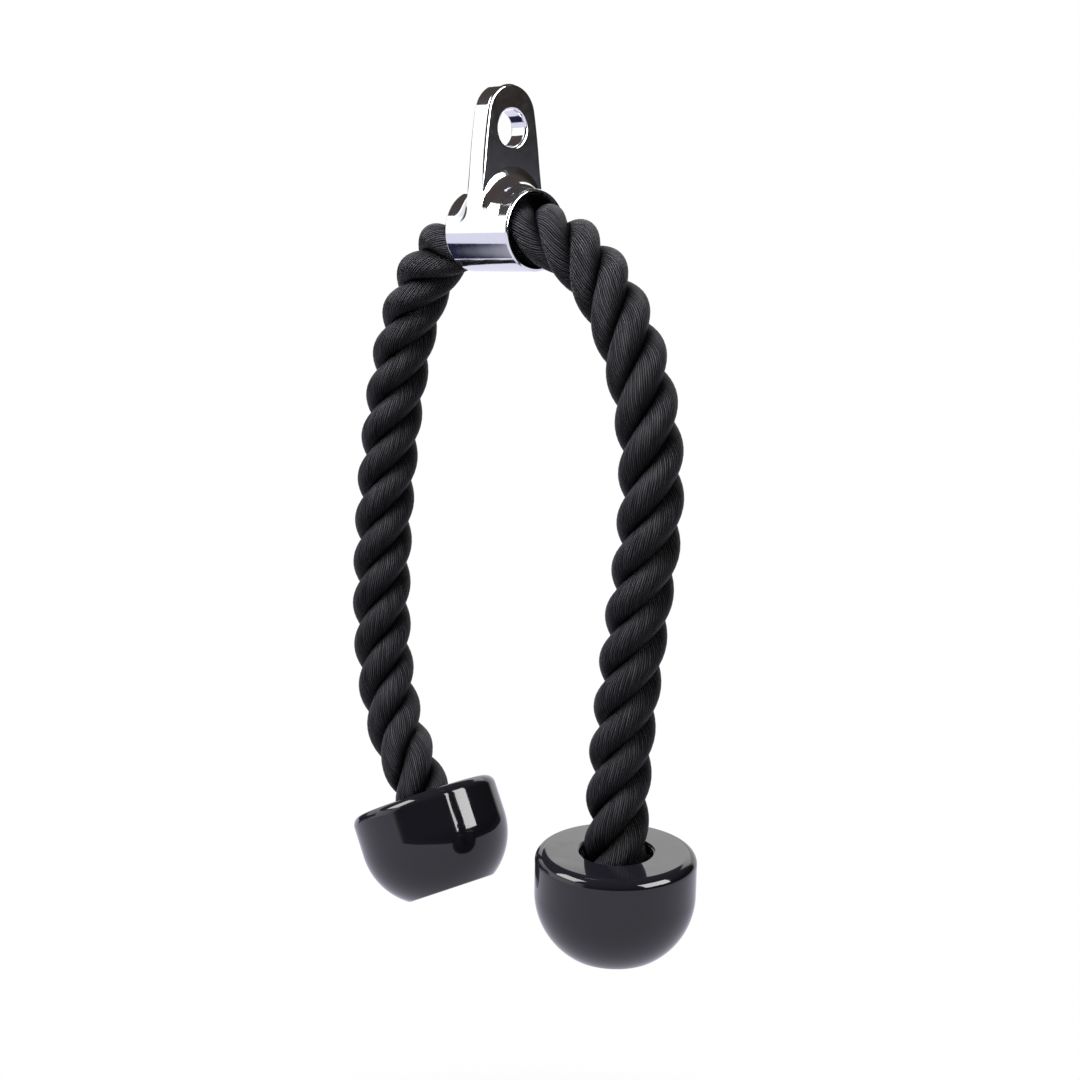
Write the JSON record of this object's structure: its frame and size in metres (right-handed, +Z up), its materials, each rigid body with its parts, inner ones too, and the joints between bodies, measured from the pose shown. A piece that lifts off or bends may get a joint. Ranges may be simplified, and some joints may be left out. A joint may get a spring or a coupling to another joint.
{
  "type": "triceps rope attachment",
  "caption": "Cable machine pull-down rope: a chromed bracket with a hang eye carries a thick black twisted rope with a domed black stop on each end.",
  "frame": {"origin": "centre of the bracket's hang eye, midway between the tang's two flat faces", "axes": "+Z up, as the part hangs on a cable's hook; +X along the eye and the barrel, towards the leg that hangs straighter; +Y towards the back"},
  "size_m": [0.2098, 0.072, 0.3834],
  "materials": {
    "chromed_casting": "polished",
    "black_nylon_rope": "matte",
    "gloss_black_moulding": "gloss",
    "gloss_black_lid": "gloss",
    "zinc_plated_washer": "satin",
    "crimped_steel_ferrule": "satin"
  },
  "bodies": {
    "bracket": {"bracket": "chromed_casting"},
    "rope_root_left": {"rope_shoulder_left": "black_nylon_rope"},
    "rope_root_right": {"rope_shoulder_right": "black_nylon_rope"},
    "leg_left": {"rope_upper_left": "black_nylon_rope"},
    "leg_right": {"rope_upper_right": "black_nylon_rope"},
    "grip_left": {"rope_lower_left": "black_nylon_rope", "thrust_washer_left": "zinc_plated_washer", "crimp_ferrule_left": "crimped_steel_ferrule"},
    "grip_right": {"rope_lower_right": "black_nylon_rope", "thrust_washer_right": "zinc_plated_washer", "crimp_ferrule_right": "crimped_steel_ferrule"},
    "cap_left": {"end_cap_left": "gloss_black_moulding", "cap_lid_left": "gloss_black_lid"},
    "cap_right": {"end_cap_right": "gloss_black_moulding", "cap_lid_right": "gloss_black_lid"}
  },
  "joints": [
    {"name": "rope_turn", "type": "hinge", "parent": "bracket", "child": "rope_root_left", "pos_m": [0, 0, -0.0457], "axis": [1, 0, 0], "continuous": true},
    {"name": "rope_twist", "type": "hinge", "parent": "rope_root_left", "child": "rope_root_right", "pos_m": [0, 0, -0.0457], "axis": [1, 0, 0], "range_deg": [-45, 45], "stiffness_Nm_per_rad": 0.3},
    {"name": "leg_left_swing", "type": "hinge", "parent": "rope_root_left", "child": "leg_left", "pos_m": [-0.06, 0, -0.064], "axis": [0, 1, 0], "range_deg": [-2, 80], "stiffness_Nm_per_rad": 0.6, "springref_deg": -0.66, "deforming": ["rope_upper_left"]},
    {"name": "leg_right_swing", "type": "hinge", "parent": "rope_root_right", "child": "leg_right", "pos_m": [0.0615, 0, -0.0605], "axis": [0, -1, 0], "range_deg": [-4, 80], "stiffness_Nm_per_rad": 0.6, "springref_deg": 2.17, "deforming": ["rope_upper_right"]},
    {"name": "leg_left_bend", "type": "hinge", "parent": "leg_left", "child": "grip_left", "pos_m": [-0.08931, 0, -0.23863], "axis": [0, 1, 0], "range_deg": [-6, 45], "stiffness_Nm_per_rad": 0.6, "springref_deg": -6.88},
    {"name": "leg_right_bend", "type": "hinge", "parent": "leg_right", "child": "grip_right", "pos_m": [0.07938, 0, -0.23158], "axis": [0, -1, 0], "range_deg": [-6, 45], "stiffness_Nm_per_rad": 0.6, "springref_deg": -1.9},
    {"name": "cap_left_spin", "type": "hinge", "parent": "grip_left", "child": "cap_left", "pos_m": [-0.0603, 0, -0.3131], "axis": [-0.4067, -0.0478, 0.9123], "continuous": true},
    {"name": "cap_right_spin", "type": "hinge", "parent": "grip_right", "child": "cap_right", "pos_m": [0.0712, 0, -0.3131], "axis": [0.0976, -0.0694, 0.9928], "continuous": true}
  ]
}
